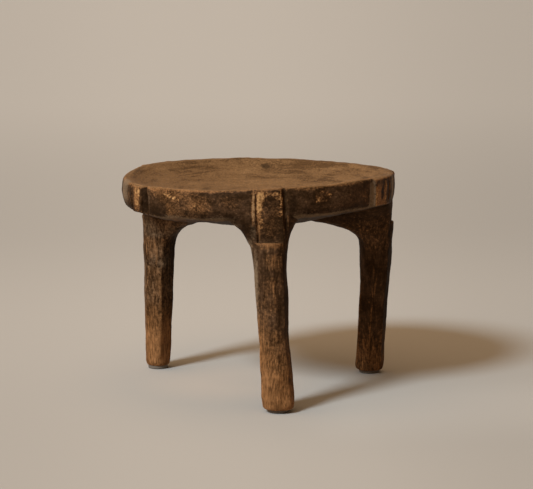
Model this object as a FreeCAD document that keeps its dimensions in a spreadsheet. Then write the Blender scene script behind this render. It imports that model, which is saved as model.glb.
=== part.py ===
import FreeCAD, Part
import math
import os
import Sketcher
from FreeCAD import Placement, Rotation, Vector

# A three-legged stool carved from one block of wood, on three nailed foot glides.
# Millimetres and degrees. The origin is on the floor in the middle of the stool's box, and the
# seat's axis is upright. An azimuth runs round that axis from the front, which is -Y, towards
# +X. Left and right are seen from outside.

doc = FreeCAD.newDocument("carved_stool")
sheet = doc.addObject("Spreadsheet::Sheet", "Sizes")

# Each row is an alias, a size and what it is.
SIZES = [
    ("axis_right", -2.4, "origin to the seat's axis, along X"),
    ("axis_back", 8.2, "origin to the seat's axis, along Y"),
    ("seat_radius", 200.0, "axis to the widest line of the rim"),
    ("stool_height", 312.0, "floor to the level of the rim's top edge"),
    ("rim_height", 41.5, "rim's top edge to its lower edge"),
    ("rim_round", 6.0, "rounding of the rim's top edge"),
    ("rim_wave", 9.0, "most that the rim rises above its level"),
    ("rim_sway", 4.0, "most that the rim stands out of round"),
    ("dish_depth", 28.0, "rim's top edge to the bottom of the dish"),
    ("belly_drop", 70.0, "rim's top edge to the bottom of the belly"),
    ("panel_width", 39.0, "width of a raised panel on the rim"),
    ("panel_proud", 1.8, "how far a panel stands out of the rim"),
    ("panel_seat", 13.0, "how deep a panel's block goes into the rim"),
    ("panel_setback", 1.4, "panel's top below the rim's top edge"),
    ("panel_round", 1.6, "rounding of a panel's edges"),
    ("leg_panel_height", 78.5, "rim's top edge to the step below a leg's panel"),
    ("leg_panel_angle", 3.8, "angle that a leg's panel leans in at its foot"),
    ("rim_panel_angle", 1.5, "angle that a panel between the legs leans in"),
    ("notch_width", 8.0, "mouth of the notch beside a panel"),
    ("notch_depth", 5.0, "depth of the notch beside a panel"),
    ("notch_angle", 5.0, "angle that a notch leans in at the rim's lower edge"),
    ("step_out", 4.2, "how far a leg stands out of the rim at the step"),
    ("leg_root_depth", 33.0, "rim's top edge to the hidden root of a leg"),
    ("leg_top_width", 48.0, "width of a leg at the step"),
    ("leg_waist_width", 40.0, "width of a leg at its waist"),
    ("foot_width", 43.0, "width of a leg just above its foot"),
    ("foot_round", 9.0, "height of the rounding round a foot"),
    ("side_flare", 42.0, "how far a leg flares to each side under the rim"),
    ("web_reach", 108.0, "how far a leg's web runs in under the belly"),
    ("glide_radius", 15.0, "radius of a foot glide"),
    ("glide_thickness", 5.0, "thickness of a foot glide"),
    ("glide_round", 1.2, "rounding of a glide's lower edge"),
    ("nail_head_radius", 4.5, "radius of a nail's head"),
    ("nail_head_thickness", 1.3, "thickness of a nail's head"),
    ("nail_recess", 2.8, "glide's underside to the seat of a nail's head"),
    ("nail_recess_clearance", 0.6, "round a nail's head"),
    ("nail_shank_radius", 1.2, "radius of a nail's shank"),
    ("nail_length", 20.0, "head's seat to the nail's point"),
    ("nail_point", 3.0, "length of a nail's point"),
    ("nail_clearance", 0.05, "between a nail's shank and its hole"),
    ("overrun", 25.0, "how far a cutter runs past what it cuts"),
]
for row, (alias, value, note) in enumerate(SIZES, start=1):
    sheet.set(f"A{row}", alias)
    sheet.set(f"B{row}", str(value))
    sheet.set(f"C{row}", note)
    sheet.setAlias(f"B{row}", alias)
doc.recompute()


def size(alias):
    """A driving dimension, read from the sheet."""
    return float(sheet.get(alias))


# The rim as it was carved and has warped, at stations all round from the front: its rise as
# shares of rim_wave, its bulge as shares of rim_sway, and its lower edge's lift as shares of
# rim_height.
RIM_RISE_SHARES = [
    0.62, 0.62, 0.76, 1.00, 0.87, 0.50, 0.29, 0.26,
    0.22, 0.16, 0.19, 0.24, 0.32, 0.31, 0.36, 0.46,
    0.28, -0.12, -0.28, -0.38, -0.28, -0.10, 0.00, 0.12,
]  # fmt: skip
RIM_BULGE_SHARES = [
    0.0, 0.0, -0.2, -0.5, -0.3, 0.1, 0.65, 0.75,
    0.2, -0.3, 0.0, 0.2, 0.0, -0.3, 0.0, 0.4,
    0.4, 0.0, 0.0, 0.0, 0.2, 0.0, -0.3, 0.0,
]  # fmt: skip
RIM_LIFT_SHARES = [
    0.00, 0.00, 0.00, 0.00, 0.00, 0.00, 0.00, 0.00,
    0.00, 0.00, 0.00, 0.00, 0.00, 0.00, 0.00, 0.00,
    0.03, 0.09, 0.09, 0.08, 0.03, 0.00, 0.00, 0.00,
]  # fmt: skip

# The seat's rings between its edges: shares of its radius, of the belly's hang below the rim
# or of the dish's depth, and how much of the rim's wave they follow.
BELLY_SHARES = [
    (0.05, 1.00, 0.0), (0.17, 0.99, 0.0), (0.34, 0.89, 0.1), (0.52, 0.67, 0.3),
    (0.72, 0.41, 0.6), (0.88, 0.22, 0.9),
]  # fmt: skip
SIDE_SHARES = [
    (0.945, 1.07), (0.972, 1.015), (0.983, 0.98), (0.992, 0.88),
    (1.000, 0.70), (1.002, 0.48), (1.001, 0.27),
]  # fmt: skip
EDGE_SHARES = [(0.0, 0.9), (0.12, 0.25), (0.55, -0.08), (1.35, -0.02), (2.6, 0.25)]
DISH_SHARES = [
    (0.88, 0.27, 0.8), (0.76, 0.50, 0.55), (0.60, 0.77, 0.3), (0.40, 0.95, 0.1),
    (0.20, 1.00, 0.0), (0.05, 1.00, 0.0),
]  # fmt: skip

# Each leg: where it meets the rim, where its foot stands, in angles and as a share of the
# seat's radius, and its sizes as shares of the legs'.
LEG_ANGLES = {"front": 0.4, "right": 98.7, "left": 232.0}
FOOT_ANGLES = {"front": 3.8, "right": 108.0, "left": 232.1}
FOOT_SPREAD_SHARES = {"front": 0.981, "right": 0.912, "left": 0.931}
FOOT_WIDTH_SHARES = {"front": 1.06, "right": 0.99, "left": 0.82}
WAIST_WIDTH_SHARES = {"front": 0.98, "right": 1.03, "left": 1.02}
LEFT_FLARE_SHARES = {"front": 1.06, "right": 0.80, "left": 0.80}
RIGHT_FLARE_SHARES = {"front": 0.55, "right": 0.80, "left": 0.72}
# How high up each leg its web starts, as shares of the step's height.
WEB_START_SHARES = {"front": 0.82, "right": 0.85, "left": 0.81}

# Each panel: where it stands, how it tilts, and its sizes as shares of the panels' and notches'.
PANEL_ANGLES = {
    "front": -0.2, "right_front": 58.5, "right": 98.7,
    "back": 167.0, "left": 232.0, "left_front": 296.1,
}  # fmt: skip
TILT_ANGLES = {
    "front": -4.0, "right_front": 0.0, "right": 0.0,
    "back": 0.0, "left": 0.0, "left_front": 0.0,
}  # fmt: skip
PANEL_WIDTH_SHARES = {
    "front": 0.90, "right_front": 1.22, "right": 1.00,
    "back": 1.00, "left": 1.00, "left_front": 0.74,
}  # fmt: skip
LEFT_NOTCH_SHARES = {
    "front": 0.45, "right_front": 1.25, "right": 1.00,
    "back": 1.00, "left": 1.00, "left_front": 1.00,
}  # fmt: skip
RIGHT_NOTCH_SHARES = {
    "front": 0.85, "right_front": 1.00, "right": 1.00,
    "back": 1.00, "left": 1.00, "left_front": 1.80,
}  # fmt: skip

# How high up a leg its other parts lie, as shares of the step's height.
WAIST_HEIGHT_SHARE = 0.42
KNEE_HEIGHT_SHARE = 0.70
FLARE_START_SHARE = 0.865
# A leg's rings of poles: by foot, shaft, web and flare. Each is a share of that stretch.
FOOT_SHARES = [(0.0, 0.86), (0.12, 0.95), (0.6, 0.99)]
SHAFT_SHARES = [0.12, 0.27, 0.42, 0.56, 0.70, 0.82]
WEB_SHARES = [0.3, 0.5, 0.68, 0.82, 0.92, 1.0]
FLARE_SHARES = [0.35, 0.6, 0.8, 1.0]
# A side flares to this share of the belly's hang below the rim's lower edge.
FLARE_HANG_SHARE = 0.30

RING_POLES = 24
SECTION_POLES = 12
SKIN_DEGREE = 3
SQUARENESS = 0.86
FULLEST_SHARE = 0.985
# A box's edges on its front face, as this FreeCAD numbers them.
BOX_FRONT_EDGES = (1, 5, 9, 10)


def from_axis(across, back, azimuth, height):
    """A point by its place across and back from the seat's axis, turned to an azimuth."""
    axis = Vector(size("axis_right"), size("axis_back"), height)
    return axis + Rotation(Vector(0, 0, 1), azimuth).multVec(Vector(across, back, 0))


def spot(radius, azimuth, height):
    """The point at that distance from the seat's axis, azimuth and height."""
    return from_axis(0, -radius, azimuth, height)


def fuller(poles):
    """How much further out a ring of poles lies than the smooth ring that it makes."""
    return 3.0 / (2.0 + math.cos(2.0 * math.pi / poles))


def skin(rings):
    """A solid whose side is one smooth surface over rings of poles, closed by flat ends."""
    across, along = len(rings[0]), len(rings)
    poles = [[ring[i] for ring in rings] for i in range(across)]
    spans = along - SKIN_DEGREE
    ends = [SKIN_DEGREE + 1]
    surface = Part.BSplineSurface()
    surface.buildFromPolesMultsKnots(
        poles,
        [1] * (across + 1),
        ends + [1] * (spans - 1) + ends,
        list(range(across + 1)),
        list(range(spans + 1)),
        True,
        False,
        SKIN_DEGREE,
        SKIN_DEGREE,
    )
    side = surface.toShape()
    caps = [Part.Face(Part.Wire([edge])) for edge in side.Edges if edge.isClosed()]
    closed = Part.makeCompound([side] + caps)
    closed.sewShape()
    solid = Part.Solid(closed.Shells[0])
    if solid.Volume < 0:
        solid.reverse()
    return solid


def share_at(shares, azimuth):
    """A table of shares round the rim, read between its stations."""
    place = (azimuth % 360.0) * len(shares) / 360.0
    low = int(place)
    part = place - low
    return shares[low] * (1.0 - part) + shares[(low + 1) % len(shares)] * part


def rim_rise(azimuth):
    """How far the rim's top edge lies above its level."""
    return size("rim_wave") * share_at(RIM_RISE_SHARES, azimuth)


def rim_top(azimuth):
    """Height of the rim's top edge."""
    return size("stool_height") + rim_rise(azimuth)


def rim_lift(azimuth):
    """How far the rim's lower edge is lifted."""
    return size("rim_height") * share_at(RIM_LIFT_SHARES, azimuth)


def rim_radius(azimuth):
    """The rim's widest line."""
    return size("seat_radius") + size("rim_sway") * share_at(RIM_BULGE_SHARES, azimuth)


def seat_ring(radius_share, inset, drop, wave_share, lift_share=0.0):
    """One ring of the seat's poles, set in from a share of its radius and down from its top."""
    ring = []
    for i in range(RING_POLES):
        azimuth = i * 360.0 / RING_POLES
        bulge = wave_share * (rim_radius(azimuth) - size("seat_radius"))
        radius = (size("seat_radius") + bulge) * radius_share - inset
        height = size("stool_height") + wave_share * rim_rise(azimuth) - drop
        raised = height + lift_share * rim_lift(azimuth)
        ring.append(spot(radius * fuller(RING_POLES), azimuth, raised))
    return ring


def seat_solid():
    """The dished seat: rings from the belly's middle, out round the rim and in over the dish."""
    rim, edge, dish = size("rim_height"), size("rim_round"), size("dish_depth")
    hang = size("belly_drop") - rim
    rings = [
        seat_ring(out, 0.0, rim + down * hang, wave, lift_share=wave)
        for out, down, wave in BELLY_SHARES
    ]
    rings += [seat_ring(out, 0.0, down * rim, 1.0, lift_share=down) for out, down in SIDE_SHARES]
    rings += [seat_ring(1.0, inset * edge, down * edge, 1.0) for inset, down in EDGE_SHARES]
    rings += [seat_ring(out, 0.0, down * dish, wave) for out, down, wave in DISH_SHARES]
    return skin(rings)


def step_height(leg):
    """Height of the step below a leg's panel."""
    return rim_top(LEG_ANGLES[leg]) - size("leg_panel_height")


def belly_height():
    """Height of the belly's lowest point."""
    return size("stool_height") - size("belly_drop")


def flare_top(leg):
    """Height at which a leg's sides have flared out to the rim."""
    rim_foot = rim_top(LEG_ANGLES[leg]) - size("rim_height")
    return rim_foot - FLARE_HANG_SHARE * (size("belly_drop") - size("rim_height"))


def flared(height, start, end, reach):
    """How far a side has flared at a height: a quarter of an ellipse."""
    part = min(max((height - start) / (end - start), 0.0), FULLEST_SHARE)
    return reach * (1.0 - math.sqrt(1.0 - part * part))


def foot_spot(leg):
    """The middle of a leg's foot, on top of its glide."""
    spread = size("seat_radius") * FOOT_SPREAD_SHARES[leg]
    return spot(spread, FOOT_ANGLES[leg], size("glide_thickness"))


def leg_spot(leg, height):
    """The middle of a leg at a height: straight from its foot to the step, then upright."""
    azimuth = LEG_ANGLES[leg]
    radius = rim_radius(azimuth) + size("step_out") - size("leg_top_width") / 2.0
    top, foot = spot(radius, azimuth, step_height(leg)), foot_spot(leg)
    part = min(max((height - foot.z) / (top.z - foot.z), 0.0), 1.0)
    middle = foot + (top - foot) * part
    return Vector(middle.x, middle.y, height)


def leg_width(leg, height):
    """A leg's width without its flares: full at the foot and the step, narrow at the waist."""
    step, top = step_height(leg), size("leg_top_width")
    foot = size("foot_width") * FOOT_WIDTH_SHARES[leg]
    waist = size("leg_waist_width") * WAIST_WIDTH_SHARES[leg]
    places = [
        (size("glide_thickness"), foot),
        (WAIST_HEIGHT_SHARE * step, waist),
        (KNEE_HEIGHT_SHARE * step, (waist + top) / 2.0),
        (step, top),
    ]
    for (low, low_width), (high, high_width) in zip(places, places[1:]):
        if height <= high:
            part = max(height - low, 0.0) / (high - low)
            return low_width + (high_width - low_width) * part
    return top


def leg_ring(leg, height, width_share):
    """One ring of a leg's poles, drawn out inwards and sideways where the leg flares."""
    step = step_height(leg)
    half = width_share * leg_width(leg, height) / 2.0
    web = flared(height, WEB_START_SHARES[leg] * step, belly_height(), size("web_reach"))
    spread = flared(height, FLARE_START_SHARE * step, flare_top(leg), size("side_flare"))
    left, right = spread * LEFT_FLARE_SHARES[leg], spread * RIGHT_FLARE_SHARES[leg]
    turn = Rotation(Vector(0, 0, 1), LEG_ANGLES[leg])
    full = fuller(SECTION_POLES)
    ring = []
    for i in range(SECTION_POLES):
        angle = 2.0 * math.pi * i / SECTION_POLES
        across, outward = math.sin(angle), math.cos(angle)
        reach = half if outward > 0 else half + web
        # The flare to a side fades towards the leg's outer face.
        side = half + (right if across > 0 else left) * (1.0 - max(outward, 0.0))
        offset = Vector(
            math.copysign(abs(across) ** SQUARENESS, across) * side * full,
            -math.copysign(abs(outward) ** SQUARENESS, outward) * reach * full,
            0.0,
        )
        ring.append(leg_spot(leg, height) + turn.multVec(offset))
    return ring


def between(start, end, shares):
    """Heights at shares of the way from start to end."""
    return [start + share * (end - start) for share in shares]


def leg_solid(leg):
    """A leg from its foot to its root inside the seat."""
    ground, step = size("glide_thickness"), step_height(leg)
    web_start, web_end = WEB_START_SHARES[leg] * step, belly_height()
    rings = [leg_ring(leg, ground + up * size("foot_round"), wide) for up, wide in FOOT_SHARES]
    heights = [share * step for share in SHAFT_SHARES]
    heights += between(web_start, web_end, WEB_SHARES)
    heights += between(web_end, flare_top(leg), FLARE_SHARES)
    heights.append(size("stool_height") - size("leg_root_depth"))
    return skin(rings + [leg_ring(leg, height, 1.0) for height in heights])


def add_solid(name, solid):
    """A document object that holds a solid made by the functions above."""
    feature = doc.addObject("Part::Feature", name)
    feature.Shape = solid
    return feature


def panel_place(name, lean, across, up):
    """A place in a panel's own frame, whose origin is the middle of its face's top edge."""
    azimuth = PANEL_ANGLES[name]
    turn = Rotation(Vector(0, 0, 1), azimuth)
    tilt = Rotation(Vector(0, 1, 0), TILT_ANGLES[name])
    top = rim_top(azimuth) - size("panel_setback")
    face = spot(rim_radius(azimuth) + size("panel_proud"), azimuth, top)
    frame = Placement(face, turn * tilt * Rotation(Vector(1, 0, 0), lean))
    return frame * Placement(Vector(across, 0, up), Rotation())


def panel_foot(name):
    """Height of a panel's foot: a leg's runs to the step, and the others to the rim's edge."""
    if name in LEG_ANGLES:
        return step_height(name) - size("panel_round")
    azimuth = PANEL_ANGLES[name]
    return rim_top(azimuth) - size("rim_height") + rim_lift(azimuth)


def panel_lean(name):
    """The angle that a panel leans in at its foot."""
    return size("leg_panel_angle") if name in LEG_ANGLES else size("rim_panel_angle")


def add_panel(name):
    """A raised panel: a block with rounded front edges, seated in the rim from its top down."""
    width_share = PANEL_WIDTH_SHARES[name]
    block = doc.addObject("Part::Box", "panel_block_" + name)
    block.setExpression("Length", f"Sizes.panel_width * {width_share}")
    block.setExpression("Width", "Sizes.panel_seat + Sizes.panel_proud")
    height = rim_top(PANEL_ANGLES[name]) - size("panel_setback") - panel_foot(name)
    block.Height = height
    half = size("panel_width") * width_share / 2.0
    block.Placement = panel_place(name, panel_lean(name), -half, -height)
    panel = doc.addObject("Part::Fillet", "panel_" + name)
    panel.Base = block
    panel.Edges = [(edge, size("panel_round"), size("panel_round")) for edge in BOX_FRONT_EDGES]
    return panel


def add_notch(name, side, width_share):
    """A notch beside a panel: a wedge, its mouth outside the rim and its edge in the wood."""
    depth, proud = size("notch_depth"), size("panel_proud")
    mouth = size("notch_width") * width_share
    spread = mouth / 2.0 * (depth + proud) / depth
    on_leg = name in LEG_ANGLES
    foot = step_height(name) if on_leg else panel_foot(name) - size("overrun") / 2.0
    notch = doc.addObject("Part::Wedge", f"notch_{name}_{'right' if side > 0 else 'left'}")
    notch.Xmin, notch.Xmax = -spread, spread
    notch.X2min = notch.X2max = 0.0
    notch.Ymin = 0.0
    notch.setExpression("Ymax", "Sizes.notch_depth + Sizes.panel_proud")
    notch.Zmin = notch.Z2min = foot - rim_top(PANEL_ANGLES[name])
    notch.setExpression("Zmax", "Sizes.overrun")
    notch.setExpression("Z2max", "Sizes.overrun")
    across = side * (size("panel_width") * PANEL_WIDTH_SHARES[name] + mouth) / 2.0
    lean = size("leg_panel_angle") if on_leg else size("notch_angle")
    notch.Placement = panel_place(name, lean, across, 0.0)
    return notch


def add_shoulder(leg):
    """The block that is cut away in front of a leg's panel, which leaves the step below it."""
    azimuth, lean = LEG_ANGLES[leg], size("leg_panel_angle")
    shoulder = doc.addObject("Part::Box", "shoulder_" + leg)
    shoulder.setExpression("Length", "Sizes.panel_width * 2")
    shoulder.setExpression("Width", "Sizes.overrun")
    shoulder.setExpression("Height", "Sizes.leg_panel_height + Sizes.overrun")
    inward = size("leg_panel_height") * math.tan(math.radians(lean))
    back = inward - rim_radius(azimuth) - size("overrun")
    corner = from_axis(-size("panel_width"), back, azimuth, step_height(leg))
    turn = Rotation(Vector(0, 0, 1), azimuth) * Rotation(Vector(1, 0, 0), lean)
    shoulder.Placement = Placement(corner, turn)
    return shoulder


def add_nail_hole(leg):
    """The hole that a glide's nail makes in the foot."""
    hole = doc.addObject("Part::Cylinder", "nail_hole_" + leg)
    hole.setExpression("Radius", "Sizes.nail_shank_radius + Sizes.nail_clearance")
    hole.setExpression("Height", "Sizes.nail_length")
    middle = foot_spot(leg)
    hole.Placement = Placement(Vector(middle.x, middle.y, size("nail_recess")), Rotation())
    return hole


def fuse(name, shapes):
    """The fusion of some objects of the document."""
    fusion = doc.addObject("Part::MultiFuse", name)
    fusion.Shapes = shapes
    return fusion


def cut(name, base, tools):
    """An object of the document cut by others."""
    result = doc.addObject("Part::Cut", name)
    result.Base = base
    result.Tool = fuse(name + "_tools", tools)
    return result


def make_body():
    """The carved body: seat and legs of one block, with its steps, panels, notches and holes."""
    seat = add_solid("seat", seat_solid())
    legs = [add_solid("leg_" + leg, leg_solid(leg)) for leg in LEG_ANGLES]
    block = fuse("block", [seat] + legs)
    stepped = cut("stepped_block", block, [add_shoulder(leg) for leg in LEG_ANGLES])
    panelled = fuse("panelled_block", [stepped] + [add_panel(name) for name in PANEL_ANGLES])
    notches = []
    for name in PANEL_ANGLES:
        notches.append(add_notch(name, -1, LEFT_NOTCH_SHARES[name]))
        notches.append(add_notch(name, 1, RIGHT_NOTCH_SHARES[name]))
    holes = [add_nail_hole(leg) for leg in LEG_ANGLES]
    body = cut("stool_body", panelled, notches + holes)
    body.Label = "stool_body"
    return body


def origin_plane(body, role):
    """One of a body's own origin planes, by its role."""
    return next(item for item in body.Origin.OriginFeatures if item.Role == role)


def cell_value(formula):
    """The value of a sum of cells such as Sizes.a + Sizes.b - Sizes.c; none is zero."""
    total, sign = 0.0, 1.0
    for word in (formula or "").split():
        if word in "+-":
            sign = 1.0 if word == "+" else -1.0
        else:
            total += sign * size(word.removeprefix("Sizes."))
    return total


def turned_body(label, corners):
    """A turned piece: an outline of (radius, height) corners, revolved about its axis.

    A corner's radius or height is a sum of cells, or none where it lies on an axis.
    """
    body = doc.addObject("PartDesign::Body", label)
    body.Label = label
    sketch = body.newObject("Sketcher::SketchObject", label + "_outline")
    sketch.AttachmentSupport = [(origin_plane(body, "XZ_Plane"), "")]
    sketch.MapMode = "FlatFace"
    points = [Vector(cell_value(out), cell_value(up), 0) for out, up in corners]
    following = list(range(1, len(corners))) + [0]
    for i, after in enumerate(following):
        sketch.addGeometry(Part.LineSegment(points[i], points[after]), False)
    for i, after in enumerate(following):
        sketch.addConstraint(Sketcher.Constraint("Coincident", i, 2, after, 1))
    for i, (out, up) in enumerate(corners):
        across = ("DistanceX", points[i].x, out, -2)
        upward = ("DistanceY", points[i].y, up, -1)
        for kind, value, formula, axis in (across, upward):
            if formula is None:
                sketch.addConstraint(Sketcher.Constraint("PointOnObject", i, 1, axis))
            else:
                bound = sketch.addConstraint(Sketcher.Constraint(kind, -1, 1, i, 1, value))
                sketch.setExpression(f"Constraints[{bound}]", formula)
    turned = body.newObject("PartDesign::Revolution", label + "_turned")
    turned.Profile = sketch
    turned.ReferenceAxis = (sketch, ["V_Axis"])
    turned.Angle = 360.0
    doc.recompute()
    return body, turned


def under_foot(leg):
    """The place on the floor under a leg's foot."""
    middle = foot_spot(leg)
    return Placement(Vector(middle.x, middle.y, 0), Rotation())


SHANK_BORE = "Sizes.nail_shank_radius + Sizes.nail_clearance"
HEAD_BORE = "Sizes.nail_head_radius + Sizes.nail_recess_clearance"


def make_glide(leg):
    """A round foot glide with a recess in its underside for the nail's head."""
    corners = [
        (SHANK_BORE, "Sizes.nail_recess"),
        (HEAD_BORE, "Sizes.nail_recess"),
        (HEAD_BORE, None),
        ("Sizes.glide_radius", None),
        ("Sizes.glide_radius", "Sizes.glide_thickness"),
        (SHANK_BORE, "Sizes.glide_thickness"),
    ]
    body, turned = turned_body("foot_glide_" + leg, corners)
    edges = enumerate(turned.Shape.Edges, start=1)
    low = [(edge.Length, i) for i, edge in edges if edge.CenterOfMass.z < size("nail_recess") / 2.0]
    rounded = body.newObject("PartDesign::Fillet", f"foot_glide_{leg}_rounded")
    rounded.Base = (turned, [f"Edge{max(low)[1]}"])
    rounded.setExpression("Radius", "Sizes.glide_round")
    body.Placement = under_foot(leg)
    return body


def make_nail(leg):
    """The nail that holds a glide: a flat head, a round shank and a point, upwards."""
    head_face = "Sizes.nail_recess - Sizes.nail_head_thickness"
    corners = [
        (None, head_face),
        ("Sizes.nail_head_radius", head_face),
        ("Sizes.nail_head_radius", "Sizes.nail_recess"),
        ("Sizes.nail_shank_radius", "Sizes.nail_recess"),
        ("Sizes.nail_shank_radius", "Sizes.nail_recess + Sizes.nail_length - Sizes.nail_point"),
        (None, "Sizes.nail_recess + Sizes.nail_length"),
    ]
    body, _ = turned_body("glide_nail_" + leg, corners)
    body.Placement = under_foot(leg)
    return body


pieces = [make_body()]
for leg in LEG_ANGLES:
    pieces += [make_glide(leg), make_nail(leg)]
doc.recompute()

for item in doc.Objects:
    if {"Invalid", "Error"} & set(item.State):
        raise RuntimeError(f"{item.Label} failed: {item.State}")
for piece in pieces:
    if piece.Shape.isNull() or not piece.Shape.isValid() or len(piece.Shape.Solids) != 1:
        raise RuntimeError(f"{piece.Label} is not one valid solid")

os.makedirs("parts", exist_ok=True)
for piece in pieces:
    piece.Shape.exportStep(os.path.join("parts", piece.Label + ".step"))
    print(piece.Label, round(piece.Shape.Volume), piece.Shape.BoundBox)
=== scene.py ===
"""The finished look of a hand-carved three-legged stool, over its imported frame."""

import math

import bmesh
import bpy
import numpy as np
from bpy.props import FloatProperty, FloatVectorProperty, IntProperty, PointerProperty
from bpy.types import NodeSocket, Operator, Panel, PropertyGroup
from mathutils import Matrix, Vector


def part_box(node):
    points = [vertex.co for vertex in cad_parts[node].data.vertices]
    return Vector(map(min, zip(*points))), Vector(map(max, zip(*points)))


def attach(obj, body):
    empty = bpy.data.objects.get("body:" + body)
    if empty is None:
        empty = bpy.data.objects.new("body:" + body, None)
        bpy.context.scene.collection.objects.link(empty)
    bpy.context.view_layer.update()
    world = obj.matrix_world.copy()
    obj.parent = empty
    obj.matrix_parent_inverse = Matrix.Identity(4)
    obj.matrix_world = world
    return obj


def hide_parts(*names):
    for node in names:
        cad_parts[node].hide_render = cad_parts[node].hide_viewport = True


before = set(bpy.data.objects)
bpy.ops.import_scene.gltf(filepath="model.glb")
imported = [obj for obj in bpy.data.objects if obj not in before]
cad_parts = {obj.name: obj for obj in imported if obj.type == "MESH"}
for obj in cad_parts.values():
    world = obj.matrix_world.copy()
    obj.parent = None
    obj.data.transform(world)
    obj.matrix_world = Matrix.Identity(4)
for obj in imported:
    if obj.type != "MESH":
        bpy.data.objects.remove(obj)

bl_info = {
    "name": "Carved Three-Legged Stool",
    "version": (1, 0, 0),
    "blender": (4, 5, 0),
    "location": "View3D > Sidebar > Stool",
    "description": "Carves, stains and lights a three-legged stool over its packed frame",
    "category": "Object",
}

BODY = "stool_body"
LEGS = ("front", "right", "left")
SEED = 11
MM = 0.001

# Metres. The seat's axis, and the levels that the maker works from.
AXIS_RIGHT, AXIS_BACK = -0.0024, 0.0082
GLIDE_TOP = 0.005
STEP_LEVEL = 0.239
# How far round a nail's axis its hole in the body reaches.
NAIL_HOLE = 0.0016
# How far from a leg's middle, and up to which height, a point belongs to the leg.
LEG_REACH, LEG_END = 0.045, 0.22
# Heights between which the legs' planes begin, end, and stop at the web behind the leg.
PLANES_BEGIN, PLANES_END, WEB_BEGINS = (0.010, 0.024), (0.180, 0.212), (0.15, 0.17)
# Heights and radii between which the rim begins, its rolled lower edge shows and its crest does.
RIM_HEIGHTS = (0.250, 0.270)
LIP_STARTS, LIP_ENDS, LIP_RADII = (0.256, 0.262), (0.296, 0.302), (0.180, 0.188)
CREST_HEIGHTS, CREST_RADII = (0.288, 0.296), (0.165, 0.175)
# How far up these two edges face, from -1 to 1, and how far about that they reach.
LIP_FACES, CREST_FACES = (-0.72, 0.30), (0.52, 0.24)
# How far from the axis marks begin on the legs, how much farther out at the rim, and how softly.
MARKS_FROM, RIM_FARTHER, MARKS_EASE = 0.120, 0.068, 0.007
# How much of its patina each leg has lost at its foot, and up to which height.
FOOT_WEAR = {"front": (0.90, 0.180), "right": (0.50, 0.120), "left": (0.95, 0.190)}

# How wide the photograph is, in pixels, and the camera's sensor, in millimetres.
PHOTO_WIDTH = 533
SENSOR_WIDTH = 36.0
FLOOR_REACH = 60.0
# An even mesh of the body with fewer points than this has gone wrong.
FEWEST_POINTS = 10000


def tone(red, green, blue):
    """A colour as a screen shows it, from 0 to 255, made linear."""
    shares = (value / 255.0 for value in (red, green, blue))
    return tuple(v / 12.92 if v <= 0.04045 else ((v + 0.055) / 1.055) ** 2.4 for v in shares)


# Places that a hand has worn, chipped or stained, and places with painted light and shade: azimuth
# and height of the middle, how far the mark reaches across and up, in millimetres, and how strong
# it is.
BARE_MARKS = (
    ("front panel, top edge", 359.6, 309.5, 20, 3.6, 0.62),
    ("front panel, top left corner", 356.6, 306, 6.5, 8, 0.90),
    ("front panel, top right corner", 3.6, 306, 5, 7, 0.62),
    ("front panel, upper left edge", 356, 295, 4.6, 17, 0.85),
    ("front panel, middle of the left edge", 356.3, 278, 3.2, 11, 0.50),
    ("front panel, lower left patch", 356.6, 267, 4.2, 8, 0.62),
    ("front panel, upper right edge", 4.8, 300, 2.6, 11, 0.56),
    ("front panel, right edge", 4.8, 280, 2.4, 9, 0.48),
    ("ridge left of the front panel", 353.6, 292, 2.2, 26, 0.86),
    ("left front panel", 296, 291, 7.5, 20, 0.62),
    ("far edge of the groove beside it", 303.4, 292, 1.2, 18, 0.50),
    ("left front panel, upper middle", 297.2, 300, 5, 8, 0.80),
    ("right front panel, left edge", 52.8, 294, 3, 20, 0.74),
    ("right front panel, foot", 60, 281, 15, 4, 0.42),
    ("right front panel, left part", 54.8, 290, 4.4, 17, 0.46),
    ("right front panel, right edge", 61.8, 296, 2.6, 18, 0.72),
    ("chip below the rim's edge", 314.6, 302.6, 3, 2.2, 0.80),
    ("chip beside it", 317, 300.4, 4.4, 2.6, 0.84),
    ("chip beyond it", 319.4, 298.6, 3.4, 2.6, 0.86),
    ("low chip", 321.2, 296.6, 2.4, 1.8, 0.62),
    ("flecks over the chips", 317, 305, 9, 2.2, 0.30),
    ("lone chip", 328.9, 289.4, 2.8, 2.6, 0.80),
    ("flecks above it", 327, 296, 5, 3, 0.36),
    ("scratches right of the front", 22.5, 309, 4, 2, 0.56),
    ("scratches below them", 20.3, 299, 4.4, 4.4, 0.60),
    ("scratches beside them", 25.8, 305, 4.4, 3.4, 0.56),
)
RUBBED_MARKS = (
    ("rim's upper half on the left", 318, 303.5, 50, 8, 0.54),
    ("rim left of the front", 318, 294, 26, 8, 0.38),
    ("rim between the left and the front", 330, 290, 26, 14, 0.51),
    ("rim near the front on the left", 344, 296, 20, 10, 0.30),
    ("rim right of the front", 22, 303, 14, 10, 0.34),
    ("rim beside the right front panel", 45.5, 298, 8, 12, 0.24),
    ("front panel", 0.4, 275, 15, 34, 0.36),
    ("front panel, left edge", 355.6, 280, 3, 34, 0.62),
    ("right front panel", 58, 291, 18, 20, 0.80),
    ("right front panel, left part", 54.4, 292, 6, 18, 1.10),
    ("left front panel", 295.8, 291, 9.5, 22, 0.80),
    ("ridge left of the front panel", 353.6, 290, 2.4, 28, 0.95),
    ("left end of the rim", 285, 292, 26, 20, 0.30),
    ("front leg under the step", 1.5, 214, 14, 14, 0.44),
    ("front leg, step", 1, 236, 20, 5, 0.62),
    ("front leg, shin", 0.5, 170, 14, 34, 0.36),
    ("left leg, top", 236, 226, 20, 16, 0.30),
    ("left leg, knee", 240, 190, 18, 20, 0.46),
    ("left leg, shin", 238, 130, 22, 44, 0.42),
    ("right leg, knee", 90, 232, 14, 22, 0.26),
    ("right leg, below the knee", 93, 208, 16, 18, 0.24),
)
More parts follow.
